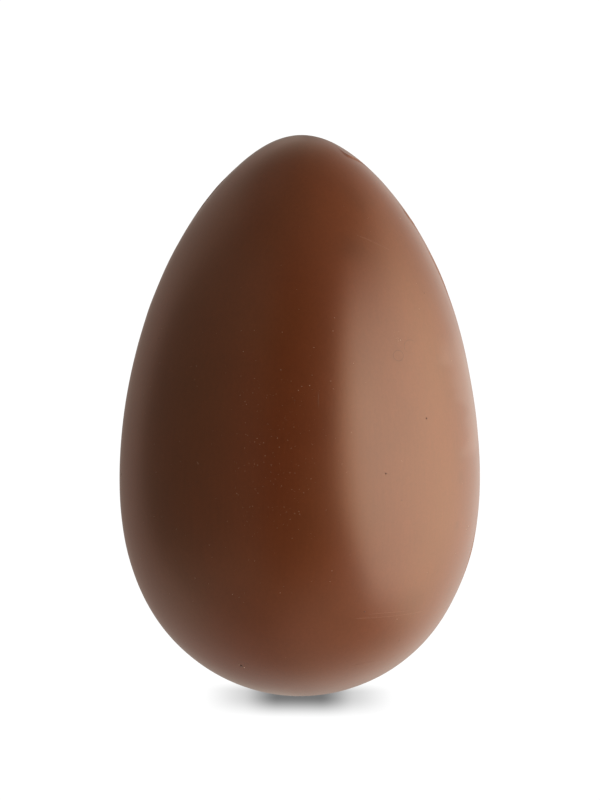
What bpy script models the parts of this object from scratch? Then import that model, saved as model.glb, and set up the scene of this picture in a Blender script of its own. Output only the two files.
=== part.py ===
"""A moulded chocolate egg that stands on its blunt end.

The egg is one solid, turned about Z. Its two moulded halves were pressed together in the XZ
plane, where a fine bead of chocolate runs all the way round. Metres, +Z up. The origin is the
centre of the small flat spot that the egg rests on.
"""

import math

import bmesh
import bpy
from mathutils import Vector

# The outline. It starts as an ellipse, and four shares widen or narrow it along the axis.
# Each share is multiplied by a power of the place on the axis, -1 at the blunt end and +1 at
# the tip, so that none of them acts half way up.
STANDING_HEIGHT = 0.180
SPOT_DEPTH = 0.0006  # how much of the blunt end is worn away by the flat spot
MIDDLE_RADIUS = 0.0564
TAPER = -0.200  # first power: narrows the tip and widens the blunt end
FULL_ENDS = 0.087  # second power
SLOPING_SHOULDERS = -0.049  # third power
ROUNDED_ENDS = -0.094  # fourth power

# The bead along the join of the two halves.
BEAD_HEIGHT = 0.0003
BEAD_HALF_WIDTH = 0.0014

# The mesh. Each half is a stack of rings that lie parallel to the join.
RING_POINTS = 80
BEAD_STEPS = 2
SIDE_STEPS = 16

# Milk chocolate.
CHOCOLATE_COLOUR = (0.150, 0.055, 0.026, 1.0)
CHOCOLATE_ROUGHNESS = 0.35

FULL_HEIGHT = STANDING_HEIGHT + SPOT_DEPTH
BLUNT_END = -SPOT_DEPTH
TIP = STANDING_HEIGHT


def radius_squared(z):
    """The square of the egg's radius at height z. It passes smoothly through 0 at both ends."""
    place = 2 * (z - BLUNT_END) / FULL_HEIGHT - 1
    change = (
        1
        + TAPER * place
        + FULL_ENDS * place**2
        + SLOPING_SHOULDERS * place**3
        + ROUNDED_ENDS * place**4
    )
    return (MIDDLE_RADIUS * change) ** 2 * (1 - place**2)


def swelling_rate(z):
    """How fast radius_squared grows with height."""
    step = FULL_HEIGHT / 1000
    return (radius_squared(z + step) - radius_squared(z - step)) / (2 * step)


def height_between(low, high, still_rising):
    """The height at which still_rising, true at low and false at high, turns false."""
    for _ in range(50):
        middle = (low + high) / 2
        if still_rising(middle):
            low = middle
        else:
            high = middle
    return (low + high) / 2


BELLY_HEIGHT = height_between(BLUNT_END, TIP, lambda z: swelling_rate(z) > 0)
BELLY_RADIUS = math.sqrt(radius_squared(BELLY_HEIGHT))
SPOT_RADIUS = math.sqrt(radius_squared(0))


def surface_normal(point):
    """The outward direction of the plain egg at a point on it."""
    return Vector((point.x, point.y, -swelling_rate(point.z) / 2)).normalized()


def bead_swelling(depth):
    """How far the bead stands out at this distance from the join: a rounded ridge."""
    share = min(depth / BEAD_HALF_WIDTH, 1)
    return BEAD_HEIGHT * (1 + math.cos(math.pi * share)) / 2


def ring_points(depth):
    """The outline of the egg where a plane cuts it at this distance from the join."""
    lowest = height_between(BLUNT_END, BELLY_HEIGHT, lambda z: radius_squared(z) < depth**2)
    highest = height_between(BELLY_HEIGHT, TIP, lambda z: radius_squared(z) > depth**2)
    points = []
    for k in range(RING_POINTS):
        turn = 2 * math.pi * k / RING_POINTS
        z = (lowest + highest) / 2 + (highest - lowest) / 2 * math.sin(turn)
        x = math.copysign(math.sqrt(max(radius_squared(z) - depth**2, 0)), math.cos(turn))
        point = Vector((x, depth, z))
        points.append(point + bead_swelling(depth) * surface_normal(point))
    return points


def ring_depths():
    """Distances of the rings from the join: close over the bead, then even round the side."""
    bead = [BEAD_HALF_WIDTH * k / BEAD_STEPS for k in range(BEAD_STEPS)]
    start = math.asin(BEAD_HALF_WIDTH / BELLY_RADIUS)
    sweep = math.pi / 2 - start
    side = [BELLY_RADIUS * math.sin(start + sweep * k / SIDE_STEPS) for k in range(SIDE_STEPS)]
    return bead + side


def add_half(bm):
    """One moulded half, from the join at y = 0 to its outermost point on the side."""
    rings = [[bm.verts.new(point) for point in ring_points(depth)] for depth in ring_depths()]
    for inner, outer in zip(rings, rings[1:]):
        for k in range(RING_POINTS):
            after = (k + 1) % RING_POINTS
            bm.faces.new((inner[k], outer[k], outer[after], inner[after]))
    side = bm.verts.new((0, BELLY_RADIUS, BELLY_HEIGHT))
    for k in range(RING_POINTS):
        bm.faces.new((rings[-1][k], side, rings[-1][(k + 1) % RING_POINTS]))


def cut_flat_spot(bm):
    """Cuts the blunt end off level with the origin and closes it with one round, flat face."""
    cut = bmesh.ops.bisect_plane(
        bm,
        geom=bm.verts[:] + bm.edges[:] + bm.faces[:],
        dist=1e-7,
        plane_co=(0, 0, 0),
        plane_no=(0, 0, -1),
        clear_outer=True,
    )
    rim = [item for item in cut["geom_cut"] if isinstance(item, bmesh.types.BMEdge)]
    for vert in {vert for edge in rim for vert in edge.verts}:
        vert.co = vert.co.normalized() * SPOT_RADIUS
    bmesh.ops.contextual_create(bm, geom=rim)


def egg_mesh():
    bm = bmesh.new()
    add_half(bm)
    bmesh.ops.mirror(
        bm, geom=bm.verts[:] + bm.edges[:] + bm.faces[:], axis="Y", merge_dist=1e-6
    )
    cut_flat_spot(bm)
    bmesh.ops.recalc_face_normals(bm, faces=bm.faces[:])
    mesh = bpy.data.meshes.new("egg")
    bm.to_mesh(mesh)
    bm.free()
    mesh.shade_smooth()
    return mesh


def chocolate():
    material = bpy.data.materials.new("milk chocolate")
    material.use_nodes = True
    shader = material.node_tree.nodes["Principled BSDF"]
    shader.inputs["Base Color"].default_value = CHOCOLATE_COLOUR
    shader.inputs["Roughness"].default_value = CHOCOLATE_ROUGHNESS
    shader.inputs["Metallic"].default_value = 0.0
    return material


for old in list(bpy.data.objects):
    bpy.data.objects.remove(old)

egg = bpy.data.objects.new("egg", egg_mesh())
egg.data.materials.append(chocolate())
bpy.context.collection.objects.link(egg)
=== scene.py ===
import math

import bpy
import numpy as np
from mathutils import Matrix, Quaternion, Vector, noise
from mathutils.bvhtree import BVHTree


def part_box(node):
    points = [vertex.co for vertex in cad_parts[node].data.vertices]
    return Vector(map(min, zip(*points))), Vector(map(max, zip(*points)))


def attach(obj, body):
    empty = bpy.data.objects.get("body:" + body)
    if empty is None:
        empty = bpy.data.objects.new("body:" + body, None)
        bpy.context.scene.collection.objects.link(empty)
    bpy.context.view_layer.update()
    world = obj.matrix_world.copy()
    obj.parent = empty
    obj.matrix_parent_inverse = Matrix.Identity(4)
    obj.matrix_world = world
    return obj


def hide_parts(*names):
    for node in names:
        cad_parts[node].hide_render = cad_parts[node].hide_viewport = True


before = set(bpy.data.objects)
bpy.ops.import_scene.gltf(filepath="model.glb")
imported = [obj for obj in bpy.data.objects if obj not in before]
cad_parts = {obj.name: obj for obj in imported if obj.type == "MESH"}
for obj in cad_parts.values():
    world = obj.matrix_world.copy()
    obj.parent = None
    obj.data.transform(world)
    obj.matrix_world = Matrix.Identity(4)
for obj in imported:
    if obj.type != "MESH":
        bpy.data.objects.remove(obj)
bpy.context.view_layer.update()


# ---------------------------------------------------------------------------------------
# The moulded egg. Milk chocolate, cast as two half shells in a polished mould and pressed
# together while the rims were soft. The rims left a fine bead with a hairline down its
# middle, all the way round in the XZ plane. It stands on a small flat spot.
# ---------------------------------------------------------------------------------------

_, egg_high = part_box("egg")
BEAD_HEIGHT = 0.0003
STANDING_HEIGHT = egg_high.z - BEAD_HEIGHT
SPOT_DEPTH = 0.0006  # what the flat spot takes off the blunt end
FULL_HEIGHT = STANDING_HEIGHT + SPOT_DEPTH
MIDDLE_RADIUS = 0.0564
TAPER, FULL_ENDS, SLOPING_SHOULDERS, ROUNDED_ENDS = -0.200, 0.087, -0.049, -0.094
SLOPE_STEP = FULL_HEIGHT / 2000
HALVINGS = 45


def radius_squared(z):
    """The square of the egg's radius at height z. It passes smoothly through 0 at both ends."""
    place = 2 * (z + SPOT_DEPTH) / FULL_HEIGHT - 1
    change = (
        1
        + TAPER * place
        + FULL_ENDS * place**2
        + SLOPING_SHOULDERS * place**3
        + ROUNDED_ENDS * place**4
    )
    return (MIDDLE_RADIUS * change) ** 2 * (1 - place**2)


def swelling_rate(z):
    return (radius_squared(z + SLOPE_STEP) - radius_squared(z - SLOPE_STEP)) / (2 * SLOPE_STEP)


def height_between(low, high, still_rising):
    """Heights at which still_rising, true at low and false at high, turns false."""
    for _ in range(HALVINGS):
        middle = (low + high) / 2
        rising = still_rising(middle)
        low = np.where(rising, middle, low)
        high = np.where(rising, high, middle)
    return (low + high) / 2


BELLY_HEIGHT = float(height_between(-SPOT_DEPTH, STANDING_HEIGHT, lambda z: swelling_rate(z) > 0))
BELLY_RADIUS = math.sqrt(radius_squared(BELLY_HEIGHT))
ON_AXIS_DIGITS = 12  # cosines that round to 0 put a point on the egg's axis


def on_plain_egg(depth, turn):
    """Points on the smooth egg, by distance from the join and turn round it from +X over the tip."""
    depth, turn = np.broadcast_arrays(np.asarray(depth, float), np.asarray(turn, float))
    belly = np.full(depth.shape, BELLY_HEIGHT)
    blunt_end = np.full(depth.shape, -SPOT_DEPTH)
    tip = np.full(depth.shape, STANDING_HEIGHT)
    lowest = height_between(blunt_end, belly, lambda z: radius_squared(z) < depth**2)
    highest = height_between(belly, tip, lambda z: radius_squared(z) > depth**2)
    z = (lowest + highest) / 2 + (highest - lowest) / 2 * np.sin(turn)
    side = np.sign(np.cos(turn).round(ON_AXIS_DIGITS))
    x = np.sqrt(np.maximum(radius_squared(z) - depth**2, 0)) * side
    return np.stack([x, depth, z], -1)


def outward(points):
    across = np.stack([points[:, 0], points[:, 1], -swelling_rate(points[:, 2]) / 2], -1)
    return across / np.linalg.norm(across, axis=1, keepdims=True)


# The faces of each half: rings parallel to the join, close together over the bead, and a cap.
RING_POINTS = 544  # a multiple of 8
RINGS_OVER_BEAD = (0, 0.00008, 0.00016, 0.00026, 0.00038, 0.00052, 0.00070, 0.00090, 0.00115, 0.00145)
RINGS_TO_CAP = 36
CAP_EDGE = math.radians(32)  # how far round the side the cap begins
ROUNDING = 1e-6


def ring_angles():
    """How far round the egg's side each ring lies from the join."""
    over_bead = np.arcsin(np.array(RINGS_OVER_BEAD) / BELLY_RADIUS)
    to_cap = np.linspace(over_bead[-1], CAP_EDGE, RINGS_TO_CAP + 1)[1:]
    return np.concatenate([over_bead, to_cap])


def cap_grid():
    """Share of the cap's reach, and turn, at the points of a square grid that is bent to a disc.

    Unlike a fan, it has no thin faces that meet on the egg's side.
    """
    steps = np.linspace(-1, 1, RING_POINTS // 4 + 1)
    across, up = np.meshgrid(steps, steps, indexing="ij")
    reach = np.maximum(abs(across), abs(up))
    eighth = math.pi / 4 / np.maximum(reach, ROUNDING)
    turn = np.select(
        [across >= abs(up), up >= abs(across), -across >= abs(up)],
        [up * eighth, math.pi / 2 - across * eighth, math.pi - up * eighth],
        3 * math.pi / 2 + across * eighth,
    )
    return reach, turn


def half_shell():
    """The angle round the side and the turn of each point of one half, and its faces."""
    rings = ring_angles()
    turns = 2 * math.pi * np.arange(RING_POINTS) / RING_POINTS
    faces = []
    for ring in range(len(rings) - 1):
        here = ring * RING_POINTS + np.arange(RING_POINTS)
        after = ring * RING_POINTS + (np.arange(RING_POINTS) + 1) % RING_POINTS
        faces.append(np.stack([here, here + RING_POINTS, after + RING_POINTS, after], -1))
    # The cap's rim is the last ring, whose first point is the middle of the grid's right side.
    reach, cap_turn = cap_grid()
    rim = reach > 1 - ROUNDING
    rim_place = np.rint(cap_turn[rim] / (2 * math.pi) * RING_POINTS).astype(int) % RING_POINTS
    index = np.empty(reach.shape, int)
    index[rim] = (len(rings) - 1) * RING_POINTS + rim_place
    index[~rim] = len(rings) * RING_POINTS + np.arange((~rim).sum())
    corners = [index[:-1, :-1], index[:-1, 1:], index[1:, 1:], index[1:, :-1]]
    faces.append(np.stack(corners, -1).reshape(-1, 4))
    cap_angle = math.pi / 2 - reach[~rim] * (math.pi / 2 - CAP_EDGE)
    angle = np.concatenate([np.repeat(rings, RING_POINTS), cap_angle])
    turn = np.concatenate([np.tile(turns, len(rings)), cap_turn[~rim]])
    return angle, turn, np.concatenate(faces)


# Where the join strays to one side of its plane: turn, reach along it in degrees, and metres.
JOIN_STRAYS = [
    (71, 4.5, -0.0045),
    (62, 3, 0.0015),
    (46.5, 2, -0.0005),
    (43, 2, 0.0008),
    (155, 9, 0.0006),
]
STRAY_REACH = 0.012  # how far from the join the shell follows it
# Where the bead and its hairline are plainest: turn and reach along it in degrees.
BEAD_SHOWS = [(68, 4), (45, 3), (31, 6), (128, 7), (208, 10), (330, 8)]
BEAD_ELSEWHERE = 0.12
BEAD_HALF_WIDTH = 0.0014
BEAD_CHANGE, BEAD_CHANGE_PITCH = 0.3, 0.009
HAIRLINE_DEPTH, HAIRLINE_HALF_WIDTH = 0.00030, 0.00018
PRESSED_HEIGHT, PRESSED_PITCH, PRESSED_REACH = 0.00007, 0.009, 0.014  # pressed by the fingers
SLACK_HEIGHT, SLACK_PITCH = 0.00010, 0.045  # slow unevenness of the whole shell
# Where the cast egg is fuller or leaner: height, reach up and down, and how far it stands out
# on the left and on the right.
UNEVEN = [
    (0.164, 0.010, -0.00022, 0.00006),
    (0.143, 0.030, -0.00024, 0.00048),
    (0.068, 0.020, -0.00008, 0.00017),
    (0.036, 0.014, -0.00014, -0.00030),
    (0.008, 0.020, -0.00052, 0.00014),
]
SEED_STEPS = (7.3, 3.1, 5.7)


def wander(points, pitch, seed):
    """Smooth noise between about -1 and 1 at each point, with bumps about one pitch apart."""
    shift = Vector([seed * step for step in SEED_STEPS])
    return np.array([noise.noise(Vector(point) / pitch + shift) for point in points])


def hump(value, middle, reach):
    return np.exp(-(((value - middle) / reach) ** 2))


def stray(turn):
    return sum(far * hump(turn, math.radians(at), math.radians(reach)) for at, reach, far in JOIN_STRAYS)


def relief(points, outwards, depth, turn):
    """How far the surface of the real egg stands off the smooth form, in metres."""
    shows = sum(hump(turn, math.radians(at), math.radians(reach)) for at, reach in BEAD_SHOWS)
    change = 1 + BEAD_CHANGE * wander(points, BEAD_CHANGE_PITCH, seed=3)
    strength = np.clip(BEAD_ELSEWHERE + shows, 0, 1) * change
    bead = BEAD_HEIGHT * (1 + np.cos(math.pi * np.minimum(depth / BEAD_HALF_WIDTH, 1))) / 2
    hairline = HAIRLINE_DEPTH * hump(depth, 0, HAIRLINE_HALF_WIDTH)
    pressed = PRESSED_HEIGHT * hump(depth, 0, PRESSED_REACH) * wander(points, PRESSED_PITCH, seed=1)
    slack = SLACK_HEIGHT * wander(points, SLACK_PITCH, seed=2)
    rightward = (1 + outwards[:, 0]) / 2
    uneven = sum(
        (left + (right - left) * rightward) * hump(points[:, 2], height, reach)
        for height, reach, left, right in UNEVEN
    )
    return (bead - hairline) * strength + pressed + slack + uneven


angle, turn, half_faces = half_shell()
depth = BELLY_RADIUS * np.sin(angle)
sideways = stray(turn) * hump(depth, 0, STRAY_REACH)
near_half = on_plain_egg(sideways - depth, turn)
far_half = on_plain_egg(sideways + depth, turn)[RING_POINTS:]
plain = np.concatenate([near_half, far_half])
depths = np.concatenate([depth, depth[RING_POINTS:]])
turns = np.concatenate([turn, turn[RING_POINTS:]])
outwards = outward(plain)
shell_points = plain + outwards * relief(plain, outwards, depths, turns)[:, None]
shell_points[:, 2] = np.maximum(shell_points[:, 2], 0)

# The far half shares the ring of points on the join, and its faces are turned the other way.
far_place = np.arange(len(near_half)) + len(far_half)
far_place[:RING_POINTS] = np.arange(RING_POINTS)
shell_faces = np.concatenate([half_faces, far_place[half_faces[:, ::-1]]])
shell = bpy.data.meshes.new("moulded_egg")
shell.from_pydata(shell_points, [], shell_faces)
shell.shade_smooth()

# The map of each half is an oval, and the two lie side by side.
OVAL_MIDDLE, OVAL_REACH, NEXT_OVAL = (0.25, 0.5), (0.24, 0.48), (0.5, 0)

spread = 1 - angle / (math.pi / 2)
oval = np.stack([spread * np.cos(turn), spread * np.sin(turn)], -1) * OVAL_REACH + OVAL_MIDDLE
near_map = oval[half_faces].reshape(-1, 2)
far_map = oval[half_faces[:, ::-1]].reshape(-1, 2) + NEXT_OVAL
on_map = np.concatenate([near_map, far_map]).astype(np.float32)
shell.uv_layers.new(name="OFBake").uv.foreach_set("vector", on_map.ravel())
egg = bpy.data.objects.new("moulded_egg", shell)
bpy.context.collection.objects.link(egg)


def add_node(tree, kind, settings=None, **inputs):
    """A shader node with its settings, whose named inputs are given as values or as outputs."""
    made = tree.nodes.new(kind)
    for name, value in (settings or {}).items():
        setattr(made, name, value)
    for name, value in inputs.items():
        socket = made.inputs[int(name[1:])] if name[0] == "_" else made.inputs[name.replace("_", " ")]
        if isinstance(value, bpy.types.NodeSocket):
            tree.links.new(value, socket)
        else:
            socket.default_value = value
    return made


def calculate(tree, operation, *values):
    inputs = {f"_{place}": value for place, value in enumerate(values)}
    return add_node(tree, "ShaderNodeMath", {"operation": operation}, **inputs).outputs[0]


def product(tree, first, *others):
    for other in others:
        first = calculate(tree, "MULTIPLY", first, other)
    return first


def fade(tree, value, start, end, low=0.0, high=1.0):
    """Runs smoothly from low to high as the value goes from start to end."""
    ends = {"From_Min": start, "From_Max": end, "To_Min": low, "To_Max": high}
    smooth = {"interpolation_type": "SMOOTHSTEP"}
    return add_node(tree, "ShaderNodeMapRange", smooth, Value=value, **ends).outputs[0]


def cloudy(tree, place, pitch, stretch=(1, 1, 1), detail=2.0, wobble=0.0):
    """Noise from 0 to 1 with bumps about one pitch apart, drawn out by the stretch."""
    scale = [1 / pitch / longer for longer in stretch]
    scaled = add_node(tree, "ShaderNodeMapping", Vector=place, Scale=scale).outputs[0]
    shape = {"Vector": scaled, "Scale": 1.0, "Detail": detail, "Distortion": wobble}
    return add_node(tree, "ShaderNodeTexNoise", **shape).outputs["Fac"]


def around_one(tree, value, amount):
    """Turns noise from 0 to 1 into a factor near 1, that strays from it by up to the amount."""
    return calculate(tree, "MULTIPLY_ADD", calculate(tree, "SUBTRACT", value, 0.5), 2 * amount, 1.0)


def on_side(aside, height):
    """A place on the smooth egg, by degrees to the right of its front (-Y) and by height."""
    radius = math.sqrt(max(radius_squared(height), 0))
    turn = math.radians(aside)
    return Vector((radius * math.sin(turn), -radius * math.cos(turn), height))


# The chocolate's colour: clouds, upright streaks and scuffs, grain, and redder patches.
CHOCOLATE_BROWN = (0.138, 0.0345, 0.0107)
CLOUD_PITCH, CLOUD_AMOUNT = 0.016, 0.12
STREAK_PITCH, STREAK_LENGTH, STREAK_AMOUNT = 0.0011, 14, 0.08
SCUFF_PITCH, SCUFF_LENGTH, SCUFF_AMOUNT = 0.00035, 24, 0.06
GRAIN_PITCH, GRAIN_AMOUNT = 0.0009, 0.10
BLUSH_PITCH, BLUSH_LENGTH, BLUSH_AMOUNT = 0.024, 1.6, 0.14
# Darker stains: degrees to the right of the front, height and reach in metres, depth.
STAINS = [
    (68, 0.082, 0.0040, 0.10),
    (67, 0.075, 0.0035, 0.12),
    (65, 0.060, 0.0025, 0.12),
    (71, 0.038, 0.0030, 0.10),
    (49, 0.037, 0.0090, 0.10),
    (46, 0.162, 0.0080, 0.10),
    (29, 0.148, 0.0070, 0.10),
    (-75, 0.072, 0.0016, 0.15),
    (152, 0.095, 0.0080, 0.10),
    (-140, 0.060, 0.0100, 0.10),
]
# A painted reflection: a pale band in front of the right of the join, with a wavy edge, that stands in for
# the pale reflection just inside the egg's right rim.
PAINTED_REFLECTION = (0.024, 0.023, 0.021)
REFLECTION_BAND_MIDDLE, REFLECTION_BAND_REACH = 0.009, (0.0050, 0.0130)  # from the join, and from that middle
REFLECTION_BAND_WAVE, REFLECTION_BAND_WAVE_PITCH, REFLECTION_BAND_WAVE_STRETCH = 0.028, 0.0065, (9, 9, 1)
REFLECTION_BAND_FOOT, REFLECTION_BAND_TOP = (0.0790, 0.0835), (0.113, 0.121)


def painted_reflection_band(tree, place):
    """1 on the painted reflection band and 0 off it."""
    x, y, z = add_node(tree, "ShaderNodeSeparateXYZ", Vector=place).outputs
    wave = cloudy(tree, place, REFLECTION_BAND_WAVE_PITCH, REFLECTION_BAND_WAVE_STRETCH, detail=0.5)
    wave = calculate(tree, "SUBTRACT", wave, 0.5)
    shift = calculate(tree, "MULTIPLY_ADD", wave, REFLECTION_BAND_WAVE, REFLECTION_BAND_MIDDLE)
    off_middle = calculate(tree, "ABSOLUTE", calculate(tree, "ADD", y, shift))
    return product(
        tree,
        fade(tree, off_middle, *REFLECTION_BAND_REACH, 1, 0),
        fade(tree, z, *REFLECTION_BAND_FOOT),
        fade(tree, z, *REFLECTION_BAND_TOP, 1, 0),
        calculate(tree, "GREATER_THAN", x, 0.0),
    )


def mottled(tree, place, colour, grain, stains, painted_reflection):
    """The colour with the clouds, streaks, scuffs, grain, stains, redder patches and the painted
    reflection band on it.
    """
    clouds = cloudy(tree, place, CLOUD_PITCH, detail=3.0, wobble=0.4)
    streaks = cloudy(tree, place, STREAK_PITCH, (1, 1, STREAK_LENGTH), wobble=0.3)
    scuffs = cloudy(tree, place, SCUFF_PITCH, (1, 1, SCUFF_LENGTH), wobble=0.3)
    shade = product(
        tree,
        around_one(tree, clouds, CLOUD_AMOUNT),
        around_one(tree, streaks, STREAK_AMOUNT),
        around_one(tree, scuffs, SCUFF_AMOUNT),
        around_one(tree, grain, GRAIN_AMOUNT),
    )
    distance = {"operation": "DISTANCE"}
    for aside, height, reach, darkening in stains:
        middle = on_side(aside, height)
        far = add_node(tree, "ShaderNodeVectorMath", distance, _0=place, _1=middle).outputs["Value"]
        shade = product(tree, shade, fade(tree, far, 0.0, reach, 1 - darkening, 1.0))
    blush = cloudy(tree, place, BLUSH_PITCH, (1, 1, BLUSH_LENGTH), detail=1.0)
    blushing = product(tree, shade, around_one(tree, blush, BLUSH_AMOUNT))
    # Painted reflection: pale colour added in a band just inside the right rim.
    on_reflection_band = painted_reflection_band(tree, place) if any(painted_reflection) else 0.0
    channels = {}
    for number, shading in enumerate([shade, blushing, blushing]):
        brown = product(tree, shading, colour[number])
        channels[f"_{number}"] = calculate(tree, "MULTIPLY_ADD", on_reflection_band, painted_reflection[number], brown)
    return add_node(tree, "ShaderNodeCombineColor", **channels).outputs[0]


# Its finish: glossy from the polished mould, rubbed here and there, with faint swirls.
GLOSS_ROUGHNESS, RUBBED_AMOUNT, RUBBED_PITCH, RUBBED_LENGTH = 0.30, 0.08, 0.012, 1.8
SWIRL_PITCH, SWIRL_LENGTH, SWIRL_HEIGHT, SWIRL_WOBBLE = 0.0018, 2.5, 0.000006, 2.0
GRAIN_HEIGHT = 0.0000022
GLOSS_IOR, GLOSS_TINT = 1.70, (0.988, 0.715, 0.528, 1)


def chocolate(name, colour, roughness=GLOSS_ROUGHNESS, stains=(), painted_reflection=(0, 0, 0)):
    material = bpy.data.materials.new(name)
    material.use_nodes = True
    tree = material.node_tree
    shader = tree.nodes["Principled BSDF"]
    place = add_node(tree, "ShaderNodeTexCoord").outputs["Object"]
    grain = cloudy(tree, place, GRAIN_PITCH, detail=1.0)
    tree.links.new(mottled(tree, place, colour, grain, stains, painted_reflection), shader.inputs["Base Color"])
    rubbed = cloudy(tree, place, RUBBED_PITCH, (1, 1, RUBBED_LENGTH), wobble=0.6)
    roughness = product(tree, around_one(tree, rubbed, RUBBED_AMOUNT), roughness)
    tree.links.new(roughness, shader.inputs["Roughness"])
    swirls = cloudy(tree, place, SWIRL_PITCH, (1, 1, SWIRL_LENGTH), detail=1.0, wobble=SWIRL_WOBBLE)
    swirled = calculate(tree, "MULTIPLY", swirls, SWIRL_HEIGHT)
    height = calculate(tree, "MULTIPLY_ADD", grain, GRAIN_HEIGHT, swirled)
    bump = add_node(tree, "ShaderNodeBump", Strength=1.0, Distance=1.0, Height=height)
    tree.links.new(bump.outputs[0], shader.inputs["Normal"])
    shader.inputs["IOR"].default_value = GLOSS_IOR
    shader.inputs["Specular Tint"].default_value = GLOSS_TINT
    return material


# The shell's colour carries the painted reflection band inside its right rim.
shell.materials.append(chocolate("milk_chocolate", CHOCOLATE_BROWN, stains=STAINS, painted_reflection=PAINTED_REFLECTION))
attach(egg, "root")
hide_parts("egg")


# ---------------------------------------------------------------------------------------
# Pale specks and dark blots. The specks are cocoa butter that rose to the surface, and the
# blots are drops of darker chocolate. Each is a low round dome on the shell, less than a
# tenth of a millimetre proud of it, and those of one kind are joined in one mesh.
# ---------------------------------------------------------------------------------------

skin = BVHTree.FromPolygons(shell_points.tolist(), shell_faces.tolist())
chance = np.random.default_rng(seed=7)
UPWARD = Vector((0, 0, 1))


def between(low, high):
    return float(chance.uniform(low, high))


def on_shell(aside, height):
    """The place on the shell and the way it faces there."""
    place, facing, _, _ = skin.find_nearest(on_side(aside, height))
    return place, facing


def piece_of(name, points, faces, material):
    mesh = bpy.data.meshes.new(name)
    mesh.from_pydata(points, [], faces)
    mesh.shade_smooth()
    mesh.materials.append(material)
    piece = bpy.data.objects.new(name, mesh)
    bpy.context.collection.objects.link(piece)
    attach(piece, "root")
    return piece


DOME_SIDES = 8
DOME_REACH = (0.75, 1.15)  # how far its corners lie from its middle, as shares of the radius
RIM_SUNK, FOOT_SUNK = 0.00001, 0.00004


def domes(name, spots, rise, material):
    """One mesh of domes from their places, radii in metres, and rise as a share of the radius."""
    points, faces = [], []
    for aside, height, radius in spots:
        place, facing = on_shell(aside, height)
        level = UPWARD.cross(facing).normalized()
        slope = facing.cross(level)
        first = len(points)
        for side in range(DOME_SIDES):
            turned = 2 * math.pi * side / DOME_SIDES
            reach = radius * between(*DOME_REACH)
            corner = reach * (math.cos(turned) * level + math.sin(turned) * slope)
            points.append(place + corner - RIM_SUNK * facing)
        points.append(place + rise * radius * facing)
        points.append(place - FOOT_SUNK * facing)
        for side in range(DOME_SIDES):
            here, after = first + side, first + (side + 1) % DOME_SIDES
            faces.append((here, after, first + DOME_SIDES))
            faces.append((after, here, first + DOME_SIDES + 1))
    return piece_of(name, points, faces, material)


def scattered(count, asides, heights, radii):
    """Places and radii for specks, of which the small ones are the most common."""
    return [(between(*asides), between(*heights), between(*radii) ** 2 / radii[1]) for _ in range(count)]


PALE_SPECK, SPECK_ROUGHNESS, SPECK_RISE = (0.55, 0.42, 0.30), 0.45, 0.3
DARK_BLOT, BLOT_ROUGHNESS, BLOT_RISE = (0.070, 0.018, 0.008), 0.38, 0.05

# Across the left and the middle of the front, beside the bubbles, and thinly all round: how
# many, between which degrees to the right, which heights, and which radii.
specks = scattered(130, (-68, 24), (0.037, 0.124), (0.00004, 0.00011))
specks += scattered(230, (-16, 10), (0.060, 0.112), (0.00004, 0.00010))
specks += scattered(9, (40.5, 43.5), (0.1200, 0.1230), (0.00005, 0.00010))
specks += scattered(200, (-180, 180), (0.012, 0.168), (0.00005, 0.00012))
specks += [(74.6, 0.0582, 0.00022), (72.9, 0.0575, 0.00016)]
specks += [(-21.5, 0.0146, 0.00026), (-23.6, 0.0154, 0.00018)]
domes("pale_specks", specks, SPECK_RISE, chocolate("cocoa_butter", PALE_SPECK, SPECK_ROUGHNESS))

blots = [(-22.6, 0.0151, 0.00055), (-75, 0.0723, 0.00045)]
blots += [(-57, 0.1180, 0.00025), (63, 0.1330, 0.00022)]
blots += scattered(14, (-180, 180), (0.020, 0.150), (0.00014, 0.00030))
domes("dark_blots", blots, BLOT_RISE, chocolate("dark_blot", DARK_BLOT, BLOT_ROUGHNESS))


# ---------------------------------------------------------------------------------------
# Scratches, bubble rims and a painted highlight line. Hair-thin rubs that handling left in
# the chocolate, the rims of two bubbles that burst against the mould, and one pale line painted
# along the top edge of the window's reflection. Each is a ridge of chocolate on the shell, a few
# thousandths of a millimetre proud of it.
# ---------------------------------------------------------------------------------------

CORNER_CUTS, CUT_SHARES = 4, (0.25, 0.75)
RIM_STATIONS = 28
HAIR_WIDTHS = (0.8, 1.2)  # how its width changes from station to station, as shares
HAIR_EDGE_SUNK, HAIR_FOOT_SUNK = 0.000001, 0.00002
PAST_ENDS = 0.3  # how many stations past its ends a hair would come to a point
TAPER_POWER = 0.5


def curved(*route):
    """Cuts the corners of a route, so that it runs in a curve."""
    for _ in range(CORNER_CUTS):
        cut = [route[0]]
        for (aside, height), (next_aside, next_height) in zip(route, route[1:]):
            for share in CUT_SHARES:
                cut.append((aside + share * (next_aside - aside), height + share * (next_height - height)))
        route = [*cut, route[-1]]
    return route


def bubble_rim(aside, height, radius, start=0, end=360, wider=1.0):
    """Points of a circle on the shell, or of a part of one, which may be wider than it's high."""
    round_it = math.sqrt(radius_squared(height))
    rim = []
    for station in range(RIM_STATIONS):
        turn = math.radians(start + (end - start) * station / RIM_STATIONS)
        sideways = math.degrees(wider * radius * math.cos(turn) / round_it)
        rim.append((aside + sideways, height + radius * math.sin(turn)))
    return rim


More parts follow.
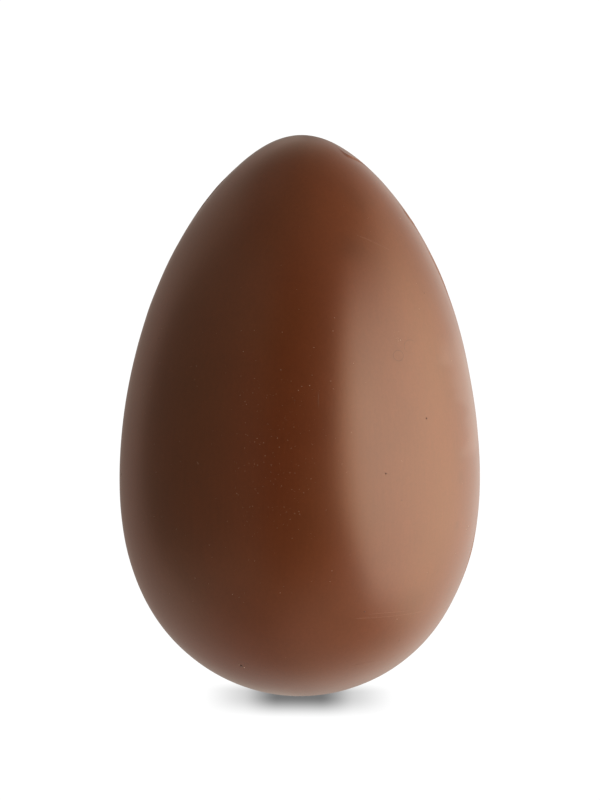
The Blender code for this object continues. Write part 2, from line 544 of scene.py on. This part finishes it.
def hairs(name, routes, half_width, rise, material):
    """One mesh of thin ridges, which taper to their ends unless they're closed."""
    points, faces = [], []
    for route, closed in routes:
        stations = [on_shell(*spot) for spot in route]
        first = len(points)
        count = len(stations)
        for number, (place, facing) in enumerate(stations):
            before = stations[number - 1 if number or closed else 0][0]
            after = stations[(number + 1) % count if closed or number + 1 < count else number][0]
            side = facing.cross((after - before).normalized()).normalized()
            along_it = (number + PAST_ENDS) / (count - 1 + 2 * PAST_ENDS)
            share = 1.0 if closed else math.sin(math.pi * along_it) ** TAPER_POWER
            wide = half_width * share * between(*HAIR_WIDTHS)
            points.append(place - wide * side - HAIR_EDGE_SUNK * facing)
            points.append(place + rise * share * facing)
            points.append(place + wide * side - HAIR_EDGE_SUNK * facing)
            points.append(place - HAIR_FOOT_SUNK * facing)
        for number in range(count if closed else count - 1):
            here = first + 4 * number
            there = first + 4 * ((number + 1) % count)
            for corner in range(4):
                onward = (corner + 1) % 4
                faces.append((here + corner, there + corner, there + onward, here + onward))
        if not closed:
            last = first + 4 * (count - 1)
            faces.append((first, first + 1, first + 2, first + 3))
            faces.append((last + 3, last + 2, last + 1, last))
    piece = piece_of(name, points, faces, material)
    piece.data.shade_flat()
    return piece


RUBBED_DARK, DARK_HALF_WIDTH = (0.108, 0.025, 0.008), 0.00006
PALE_RUB_AND_HIGHLIGHT, PALE_HALF_WIDTH = (0.185, 0.058, 0.024), 0.00004
RUBBED_ROUGHNESS, RUBBED_RISE = 0.36, 0.000003
BUBBLE_RIM, RIM_ROUGHNESS = (0.094, 0.0220, 0.0066), 0.33
RIM_HALF_WIDTH, RIM_RISE = 0.00012, 0.000004

# Each route goes by degrees to the right and by height, and says whether it is closed.
dark_scratches = [
    (curved((-32, 0.0741), (-28, 0.0771), (-22, 0.0795), (-17, 0.0811)), False),
    (curved((11.2, 0.1059), (10.9, 0.1037), (11.1, 0.1016)), False),
    (curved((-52, 0.1657), (-62, 0.1662), (-72, 0.1660)), False),
    (curved((32, 0.0160), (37, 0.0166), (42, 0.0168)), False),
]
rubbed_dark = chocolate("rubbed_dark", RUBBED_DARK, RUBBED_ROUGHNESS)
hairs("dark_scratches", dark_scratches, DARK_HALF_WIDTH, RUBBED_RISE, rubbed_dark)

bubbles = [
    (bubble_rim(41.4, 0.1157, 0.0016, wider=1.2), True),
    (bubble_rim(47.5, 0.1180, 0.0020, 30, 240, wider=1.3), False),
]
rim_chocolate = chocolate("bubble_rim", BUBBLE_RIM, RIM_ROUGHNESS)
hairs("burst_bubbles", bubbles, RIM_HALF_WIDTH, RIM_RISE, rim_chocolate)

# The first pale line is a painted highlight along the top edge of the window's reflection; the others are
# pale rubs.
pale_scratches_and_highlight = [
    (curved((33, 0.1522), (41, 0.1500), (51, 0.1466)), False),
    (curved((62, 0.0306), (70, 0.0312), (78, 0.0309)), False),
    (curved((72.6, 0.0572), (73.4, 0.0577), (74.0, 0.0583)), False),
    (curved((25, 0.0336), (40, 0.0331), (56, 0.0329)), False),
    (curved((30, 0.0347), (38, 0.0346), (46, 0.0342)), False),
    (curved((48, 0.0168), (51, 0.0171), (54, 0.0175)), False),
]
pale_rub_and_highlight = chocolate("pale_rub_and_highlight", PALE_RUB_AND_HIGHLIGHT, RUBBED_ROUGHNESS)
hairs("pale_scratches_and_highlight", pale_scratches_and_highlight, PALE_HALF_WIDTH, RUBBED_RISE, pale_rub_and_highlight)


# ---------------------------------------------------------------------------------------
# The table. A white paper sheet under the egg. Its soft shadow is a dark core close to the
# foot of the egg and a paler, wider halo, both drawn out towards the camera.
# ---------------------------------------------------------------------------------------

VIEW_AZIMUTH = math.radians(5)  # where the camera stands, round from -Y towards +X
TO_RIGHT = Vector((math.cos(VIEW_AZIMUTH), math.sin(VIEW_AZIMUTH), 0))
AWAY = Vector((-math.sin(VIEW_AZIMUTH), math.cos(VIEW_AZIMUTH), 0))
TABLE_HALF_WIDTH = 3.0
WHITE = (1, 1, 1)
PAPER_BRIGHTNESS = 1.05
CORE_DARKNESS, CORE_EDGE = 0.42, (0.0065, 0.0184)
HALO_DARKNESS, HALO_EDGE = 0.45, (0.0120, 0.0345)
SHADOW_FRONT, SHADOW_BACK, SHADOW_TO_RIGHT = (0.009, 0.0435), (-0.017, 0.0025), 0.0005


def along(tree, direction, axis):
    dot = {"operation": "DOT_PRODUCT"}
    return add_node(tree, "ShaderNodeVectorMath", dot, _0=direction, _1=axis).outputs["Value"]


table_mesh = bpy.data.meshes.new("white_table")
corners = [(-1, -1, 0), (1, -1, 0), (1, 1, 0), (-1, 1, 0)]
table_mesh.from_pydata([Vector(corner) * TABLE_HALF_WIDTH for corner in corners], [], [(0, 1, 2, 3)])
table = bpy.data.objects.new("white_table", table_mesh)
bpy.context.collection.objects.link(table)
table.visible_glossy = False
table.visible_diffuse = False
table.visible_shadow = False

paper = bpy.data.materials.new("white_paper")
paper.use_nodes = True
tree = paper.node_tree
tree.nodes.remove(tree.nodes["Principled BSDF"])
place = add_node(tree, "ShaderNodeNewGeometry").outputs["Position"]
rightward = along(tree, place, TO_RIGHT)
aside = calculate(tree, "ABSOLUTE", calculate(tree, "SUBTRACT", rightward, SHADOW_TO_RIGHT))
nearer = along(tree, place, -AWAY)
core = fade(tree, aside, *CORE_EDGE, CORE_DARKNESS, 0)
halo = fade(tree, aside, *HALO_EDGE, HALO_DARKNESS, 0)
front = fade(tree, nearer, *SHADOW_FRONT, 1, 0)
back = fade(tree, nearer, *SHADOW_BACK)
shadow = product(tree, calculate(tree, "ADD", core, halo), front, back)
lit = calculate(tree, "SUBTRACT", PAPER_BRIGHTNESS, shadow)
glow = add_node(tree, "ShaderNodeEmission", Color=(*WHITE, 1), Strength=lit)
tree.links.new(glow.outputs[0], tree.nodes["Material Output"].inputs["Surface"])
table_mesh.materials.append(paper)


# ---------------------------------------------------------------------------------------
# The camera. It has a long lens and stands a metre and a half away, a little above the
# egg's middle and not quite level.
# ---------------------------------------------------------------------------------------

VIEW_ELEVATION = math.radians(9)
VIEW_DISTANCE = 1.5
LEAN = math.radians(0.50)
MIDDLE = Vector((0, 0, 0.090))
AIM = Vector((0, 0, 0.0951))
LENS = 210.9

camera_data = bpy.data.cameras.new("camera")
camera_data.lens = LENS
camera = bpy.data.objects.new("camera", camera_data)
bpy.context.collection.objects.link(camera)
backward = math.sin(VIEW_ELEVATION) * UPWARD - math.cos(VIEW_ELEVATION) * AWAY
camera.location = MIDDLE + VIEW_DISTANCE * backward
camera.rotation_mode = "QUATERNION"
looking = (AIM - camera.location).to_track_quat("-Z", "Y")
camera.rotation_quaternion = looking @ Quaternion((0, 0, 1), LEAN)
bpy.context.scene.camera = camera


# ---------------------------------------------------------------------------------------
# Light. A tall soft window on the right, which the chocolate mirrors as a bowed pale strip,
# a dim wall on the left, pale backdrops behind on both sides, and the white table below.
# It's all in the surroundings, by angles in degrees round from the camera and up.
# ---------------------------------------------------------------------------------------

world = bpy.data.worlds.new("studio")
bpy.context.scene.world = world
world.use_nodes = True
tree = world.node_tree

direction = add_node(tree, "ShaderNodeTexCoord").outputs["Generated"]
to_right = along(tree, direction, TO_RIGHT)
to_left = calculate(tree, "MULTIPLY", to_right, -1.0)
away = along(tree, direction, AWAY)
nearer = calculate(tree, "MULTIPLY", away, -1.0)
upward = along(tree, direction, UPWARD)
downward = calculate(tree, "MULTIPLY", upward, -1.0)
round_to = calculate(tree, "MULTIPLY", calculate(tree, "ARCTAN2", to_right, nearer), math.degrees(1))
round_left = calculate(tree, "MULTIPLY", round_to, -1.0)
tilt_up = calculate(tree, "MULTIPLY", calculate(tree, "ARCSINE", upward), math.degrees(1))


def bowed(tree, reach, middle, per_degree, power):
    """How far an upright edge bows aside, in degrees, away from its middle height."""
    off_middle = calculate(tree, "ABSOLUTE", calculate(tree, "SUBTRACT", reach, middle))
    return calculate(tree, "MULTIPLY", calculate(tree, "POWER", off_middle, power), per_degree)


# The window. Its near edge bows away from the camera above and below its middle, and a level
# band across it is brighter. Its light is warmer along that edge and from far round.
WINDOW_BRIGHTNESS, BAND_BRIGHTNESS = 3.12, 0.74
WINDOW_NEAR_EDGE = (25.5, 28.5)
WINDOW_BOW, BOW_MIDDLE, BOW_POWER = 0.0187, 5.7, 1.935
WINDOW_FAR_EDGE, WINDOW_FOOT, WINDOW_TOP = (77.3, 138.4), (-51.0, -33.0), (19.5, 49.0)
WINDOW_DIMMING, WINDOW_RISING = (36, 56, 1.20, 0.96), (80, 100, 1.0, 1.08)
BAND_NEAR_EDGE, BAND_FAR_EDGE = (25.5, 40.0), (90, 160)
BAND_FOOT, BAND_TOP = (-40.0, -1.5), (7.8, 24.7)
FAR_LIGHT, FAR_LIGHT_COLOUR = (60.0, 130.0), (1, 0.883, 0.668)
FRAME_EDGE, FRAME_FOOT, FRAME_COLOUR = (28.0, 37.0, 1, 0), (-36.0, -14.0), (0.97, 0.66, 0.48)

window_bow = bowed(tree, tilt_up, BOW_MIDDLE, WINDOW_BOW, BOW_POWER)
inside = calculate(tree, "SUBTRACT", round_to, window_bow)
window = product(
    tree,
    fade(tree, inside, *WINDOW_NEAR_EDGE),
    fade(tree, round_to, *WINDOW_FAR_EDGE, 1, 0),
    fade(tree, tilt_up, *WINDOW_FOOT),
    fade(tree, tilt_up, *WINDOW_TOP, 1, 0),
    fade(tree, round_to, *WINDOW_DIMMING),
    fade(tree, round_to, *WINDOW_RISING),
    WINDOW_BRIGHTNESS,
)
band = product(
    tree,
    fade(tree, round_to, *BAND_NEAR_EDGE),
    fade(tree, round_to, *BAND_FAR_EDGE, 1, 0),
    fade(tree, tilt_up, *BAND_FOOT),
    fade(tree, tilt_up, *BAND_TOP, 1, 0),
    BAND_BRIGHTNESS,
)
window = calculate(tree, "ADD", window, band)
far_window = product(tree, window, fade(tree, round_to, *FAR_LIGHT))
frame_light = product(tree, window, fade(tree, inside, *FRAME_EDGE), fade(tree, tilt_up, *FRAME_FOOT))
near_window = calculate(tree, "SUBTRACT", calculate(tree, "SUBTRACT", window, far_window), frame_light)

# The backdrop behind the egg and the ceiling, less what the dark camera hides.
BACKDROP, BACKDROP_RIGHT, BACKDROP_FALL, BACKDROP_EDGE = 0.420, 1.250, 0.715, (-0.2, 0.9)
ROOM_COLOUR = (1, 0.952, 0.863)
CEILING = 0.188
CAMERA_DARK, CAMERA_EDGE = -0.125, (0.5, 1.0)

behind = calculate(tree, "MULTIPLY_ADD", to_right, BACKDROP_RIGHT, BACKDROP)
falling = calculate(tree, "MULTIPLY_ADD", upward, -BACKDROP_FALL, 1.0)
behind = calculate(tree, "MAXIMUM", behind, 0.0)
behind = product(tree, behind, falling, fade(tree, away, *BACKDROP_EDGE))
above = fade(tree, upward, 0, 1, 0, CEILING)
camera_dark = fade(tree, nearer, *CAMERA_EDGE, 0, CAMERA_DARK)
room = calculate(tree, "ADD", behind, calculate(tree, "ADD", above, camera_dark))
room = calculate(tree, "MAXIMUM", room, 0.0)

# The wall on the left.
WALL_BRIGHTNESS, WALL_COLOUR = 0.240, (1, 0.915, 0.790)
WALL_EDGE, WALL_FOOT, WALL_TOP = (15.0, 32.0), (-58.2, -30.9), (34.5, 58.0)

wall = product(
    tree,
    fade(tree, round_left, *WALL_EDGE),
    fade(tree, tilt_up, *WALL_FOOT),
    fade(tree, tilt_up, *WALL_TOP, 1, 0),
    WALL_BRIGHTNESS,
)

# A paler strip beyond the wall's far edge, which shows as a line inside the egg's left rim,
# and another beyond the window. Above the far edge of the table, the right is paler still
# and the left is darker.
STRIP_BRIGHTNESS, STRIP_COLOUR = 0.24, (1, 0.68, 0.60)
STRIP_EDGE, STRIP_FADING = (120.5, 123.7), (25, 55, 1.0, 0.75)
STRIP_BOW, STRIP_MIDDLE, STRIP_POWER = 0.12, 2.0, 1.5
RIGHT_STRIP_BRIGHTNESS, RIGHT_STRIP_EDGE = 0.177, (150.0, 171.1)
SIDEWAYS = (0.0, 0.4)
TABLE_END = (-15.0, -10.0)
PALER, PALER_EDGE, PALER_FADING = 0.33, (125, 168), (0, 25, 1.0, 0.3)
DARKER, DARKER_EDGE = 0.35, (130, 155)

strip_bow = bowed(tree, tilt_up, STRIP_MIDDLE, STRIP_BOW, STRIP_POWER)
beyond_wall = calculate(tree, "ADD", round_left, strip_bow)
past_table = fade(tree, tilt_up, *TABLE_END)
darker = product(tree, fade(tree, round_left, *DARKER_EDGE, 0, DARKER), past_table)
strip = product(
    tree,
    fade(tree, beyond_wall, *STRIP_EDGE),
    fade(tree, to_left, *SIDEWAYS),
    calculate(tree, "SUBTRACT", 1.0, darker),
    fade(tree, tilt_up, *STRIP_FADING),
    STRIP_BRIGHTNESS,
)
beyond_window = fade(tree, round_to, *RIGHT_STRIP_EDGE, 0, RIGHT_STRIP_BRIGHTNESS)
paler = fade(tree, round_to, *PALER_EDGE, 0, PALER)
paler = product(tree, paler, past_table, fade(tree, tilt_up, *PALER_FADING))
right_strip = calculate(tree, "ADD", beyond_window, paler)
right_strip = product(tree, right_strip, fade(tree, to_right, *SIDEWAYS))

# Two soft lights behind on the left, which pick out the top of the egg and its left edge:
# how bright, how far round to the right, how far up, and how wide, the last three in degrees.
TOP_LIGHT = (0.38, -172, 50, 29)
WARM_LIGHT = (0.20, -160, 31, 20)


def soft_light(brightness, turn, up, reach):
    turn, up = math.radians(turn), math.radians(up)
    level = math.sin(turn) * TO_RIGHT - math.cos(turn) * AWAY
    facing = along(tree, direction, math.cos(up) * level + math.sin(up) * UPWARD)
    return fade(tree, facing, math.cos(math.radians(reach)), 1, 0, brightness)


room = calculate(tree, "ADD", room, soft_light(*TOP_LIGHT))
strip = calculate(tree, "ADD", strip, soft_light(*WARM_LIGHT))

# The white table, which the egg's underside mirrors, brightest in a patch that the window
# lights. The patch is given as the two soft lights are.
TABLE_BRIGHTNESS, TABLE_LEFT, TABLE_EDGE, TABLE_COLOUR = 0.211, 0.498, (0.2, 1.0), (1, 0.849, 0.789)
FAR_TABLE, FAR_TABLE_EDGE, STEEPLY_DOWN = 0.24, (0.05, 0.50), (0.60, 0.95)
LIT_PATCH = (0.58, 52, -60, 45)

below = calculate(tree, "MULTIPLY_ADD", to_left, TABLE_LEFT, TABLE_BRIGHTNESS)
below = product(tree, calculate(tree, "MAXIMUM", below, 0.0), fade(tree, downward, *TABLE_EDGE))
beyond_egg = fade(tree, away, *FAR_TABLE_EDGE)
beyond_egg = product(tree, beyond_egg, fade(tree, downward, *STEEPLY_DOWN), FAR_TABLE)
below = calculate(tree, "ADD", below, beyond_egg)
below = calculate(tree, "ADD", below, soft_light(*LIT_PATCH))


def light(colour, strength):
    return add_node(tree, "ShaderNodeBackground", Color=(*colour, 1), Strength=strength).outputs[0]


def both(first, second):
    return add_node(tree, "ShaderNodeAddShader", _0=first, _1=second).outputs[0]


tree.nodes.remove(tree.nodes["Background"])
surroundings = both(light(WHITE, near_window), light(WHITE, right_strip))
for colour, strength in [
    (FAR_LIGHT_COLOUR, far_window),
    (FRAME_COLOUR, frame_light),
    (ROOM_COLOUR, room),
    (WALL_COLOUR, wall),
    (STRIP_COLOUR, strip),
    (TABLE_COLOUR, below),
]:
    surroundings = both(surroundings, light(colour, strength))
seen = add_node(tree, "ShaderNodeLightPath").outputs["Is Camera Ray"]
paper_white = light(WHITE, PAPER_BRIGHTNESS)
mix = add_node(tree, "ShaderNodeMixShader", _0=seen, _1=surroundings, _2=paper_white)
tree.links.new(mix.outputs[0], tree.nodes["World Output"].inputs["Surface"])
bpy.context.scene.view_settings.view_transform = "Standard"
